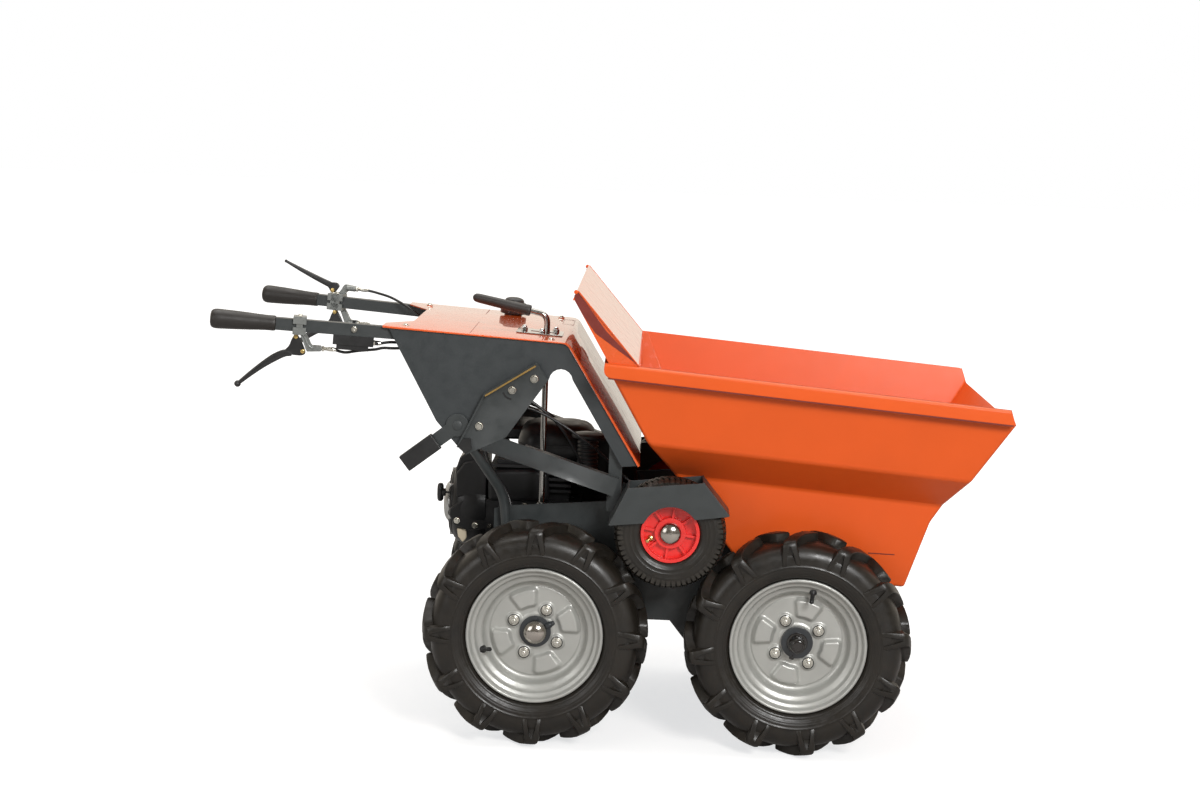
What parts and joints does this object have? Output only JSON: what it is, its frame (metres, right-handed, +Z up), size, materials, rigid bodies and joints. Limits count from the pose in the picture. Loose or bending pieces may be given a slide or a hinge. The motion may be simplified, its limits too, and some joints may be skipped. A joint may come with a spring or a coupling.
{
  "type": "concrete buggy",
  "caption": "Walk-behind powered dumper with lugged wheels, friction-drive idlers, tipping skip with deflector, console, levers and engine.",
  "frame": {"origin": "on the ground at the middle of the outline's length and width", "axes": "+X forward, towards the skip's lip; +Y to the operator's left; +Z up"},
  "size_m": [1.6548, 0.744, 0.9599],
  "materials": {
    "tyre": "matte moulded rubber with slanted lugs",
    "rim_paint": "silver-grey enamel on pressed steel",
    "hub_paint": "black enamel",
    "zinc": "bright zinc plate",
    "chrome": "polished plate",
    "idler_paint": "red gloss enamel",
    "frame_paint": "dark grey satin powder coat",
    "skip_paint": "orange gloss enamel",
    "shaft_steel": "bare turned steel",
    "cast_alloy": "as-cast alloy",
    "lever_black": "black satin enamel",
    "grip_rubber": "matte moulded rubber",
    "black_plastic": "fine-grained moulded plastic",
    "cable_rubber": "smooth cable sheath",
    "engine_black": "black gloss engine enamel"
  },
  "bodies": {
    "chassis": {"chassis_frame": "frame_paint", "transaxle": "frame_paint", "pivot_shaft": "shaft_steel", "idler_guard_left": "frame_paint", "idler_guard_right": "frame_paint", "console_arm_left": "frame_paint", "console_arm_right": "frame_paint", "stay_tubes": "frame_paint", "console_plate_left": "frame_paint", "console_plate_right": "frame_paint", "console_cover": "skip_paint", "console_fasteners": "zinc", "handle_tubes": "frame_paint", "handle_grips": "grip_rubber", "lever_clamps": "cast_alloy", "throttle_box": "black_plastic", "control_cables": "cable_rubber", "gear_gate": "zinc", "engine_block": "engine_black", "engine_shroud": "engine_black", "fuel_tank": "engine_black", "air_cleaner": "black_plastic"},
    "front_wheel_left": {"tyre_front_left": "tyre", "rim_front_left": "rim_paint", "hub_front_left": "hub_paint", "wheel_nuts_front_left": "zinc"},
    "rear_wheel_left": {"tyre_rear_left": "tyre", "rim_rear_left": "rim_paint", "hub_rear_left": "hub_paint", "wheel_nuts_rear_left": "zinc", "hub_cap_left": "chrome"},
    "idler_left": {"idler_tyre_left": "tyre", "idler_rim_left": "idler_paint", "idler_cap_left": "chrome"},
    "front_wheel_right": {"tyre_front_right": "tyre", "rim_front_right": "rim_paint", "hub_front_right": "hub_paint", "wheel_nuts_front_right": "zinc"},
    "rear_wheel_right": {"tyre_rear_right": "tyre", "rim_rear_right": "rim_paint", "hub_rear_right": "hub_paint", "wheel_nuts_rear_right": "zinc", "hub_cap_right": "chrome"},
    "idler_right": {"idler_tyre_right": "tyre", "idler_rim_right": "idler_paint", "idler_cap_right": "chrome"},
    "skip": {"skip_shell": "skip_paint", "deflector": "skip_paint", "skip_brackets": "skip_paint"},
    "tip_lever": {"tip_lever": "frame_paint", "tip_grip": "grip_rubber"},
    "skip_latch": {"skip_latch": "shaft_steel"},
    "brake_lever_left": {"brake_lever_left": "lever_black"},
    "brake_lever_right": {"brake_lever_right": "lever_black"},
    "clutch_lever": {"clutch_lever": "lever_black"},
    "throttle_lever": {"throttle_lever": "black_plastic"},
    "gear_lever": {"gear_lever": "chrome", "gear_grip": "black_plastic"},
    "filler_cap": {"filler_cap": "black_plastic"},
    "starter_grip": {"starter_grip": "black_plastic"}
  },
  "joints": [
    {"name": "front_wheel_left_spin", "type": "hinge", "parent": "chassis", "child": "front_wheel_left", "pos_m": [0.40983, 0.298, 0.236], "axis": [0, 1, 0], "continuous": true},
    {"name": "rear_wheel_left_spin", "type": "hinge", "parent": "chassis", "child": "rear_wheel_left", "pos_m": [-0.13617, 0.298, 0.236], "axis": [0, 1, 0], "continuous": true},
    {"name": "idler_left_spin", "type": "hinge", "parent": "chassis", "child": "idler_left", "pos_m": [0.13683, 0.298, 0.45884], "axis": [0, 1, 0], "continuous": true},
    {"name": "front_wheel_right_spin", "type": "hinge", "parent": "chassis", "child": "front_wheel_right", "pos_m": [0.40983, -0.298, 0.236], "axis": [0, 1, 0], "continuous": true},
    {"name": "rear_wheel_right_spin", "type": "hinge", "parent": "chassis", "child": "rear_wheel_right", "pos_m": [-0.13617, -0.298, 0.236], "axis": [0, 1, 0], "continuous": true},
    {"name": "idler_right_spin", "type": "hinge", "parent": "chassis", "child": "idler_right", "pos_m": [0.13683, -0.298, 0.45884], "axis": [0, 1, 0], "continuous": true},
    {"name": "skip_tip", "type": "hinge", "parent": "chassis", "child": "skip", "pos_m": [0.47683, 0, 0.32], "axis": [0, 1, 0], "range_deg": [0, 80]},
    {"name": "tip_lever_lift", "type": "hinge", "parent": "chassis", "child": "tip_lever", "pos_m": [-0.31317, -0.269, 0.66], "axis": [0, 1, 0], "range_deg": [0, 30]},
    {"name": "skip_latch_slide", "type": "slide", "parent": "chassis", "child": "skip_latch", "axis": [0, -1, 0], "range_m": [0, 0.012]},
    {"name": "brake_left_squeeze", "type": "hinge", "parent": "chassis", "child": "brake_lever_left", "pos_m": [-0.65228, 0.27225, 0.83298], "axis": [0.1426, 0.9898, 0], "range_deg": [0, 28], "stiffness_Nm_per_rad": 2, "springref_deg": -17.19},
    {"name": "brake_right_squeeze", "type": "hinge", "parent": "chassis", "child": "brake_lever_right", "pos_m": [-0.65228, -0.27225, 0.83298], "axis": [-0.1426, 0.9898, 0], "range_deg": [0, 28], "stiffness_Nm_per_rad": 2, "springref_deg": -17.19},
    {"name": "clutch_squeeze", "type": "hinge", "parent": "chassis", "child": "clutch_lever", "pos_m": [-0.65833, 0.27312, 0.88341], "axis": [-0.1426, -0.9898, 0], "range_deg": [0, 20], "stiffness_Nm_per_rad": 2, "springref_deg": -17.19},
    {"name": "throttle_turn", "type": "hinge", "parent": "chassis", "child": "throttle_lever", "pos_m": [-0.53754, -0.24359, 0.82369], "axis": [-0.1426, 0.9898, 0], "range_deg": [-25, 25]},
    {"name": "gear_turn", "type": "hinge", "parent": "chassis", "child": "gear_lever", "pos_m": [-0.14017, -0.13, 0.7], "axis": [0, 0, 1], "range_deg": [-25, 25]},
    {"name": "filler_cap_turn", "type": "hinge", "parent": "chassis", "child": "filler_cap", "pos_m": [-0.23417, 0.208, 0.85122], "axis": [0.0576, 0, 0.9983], "range_deg": [0, 90]},
    {"name": "starter_pull", "type": "slide", "parent": "chassis", "child": "starter_grip", "axis": [-1, 0, 0], "range_m": [0, 0.25], "stiffness_N_per_m": 40, "springref_m": -0.2}
  ],
  "couplings": [
    {"joint": "rear_wheel_left_spin", "follows": "front_wheel_left_spin", "ratio": 1},
    {"joint": "idler_left_spin", "follows": "front_wheel_left_spin", "ratio": -2.0345},
    {"joint": "rear_wheel_right_spin", "follows": "front_wheel_right_spin", "ratio": 1},
    {"joint": "idler_right_spin", "follows": "front_wheel_right_spin", "ratio": -2.0345},
    {"joint": "skip_latch_slide", "follows": "tip_lever_lift", "m_per_rad": 0.0229}
  ]
}
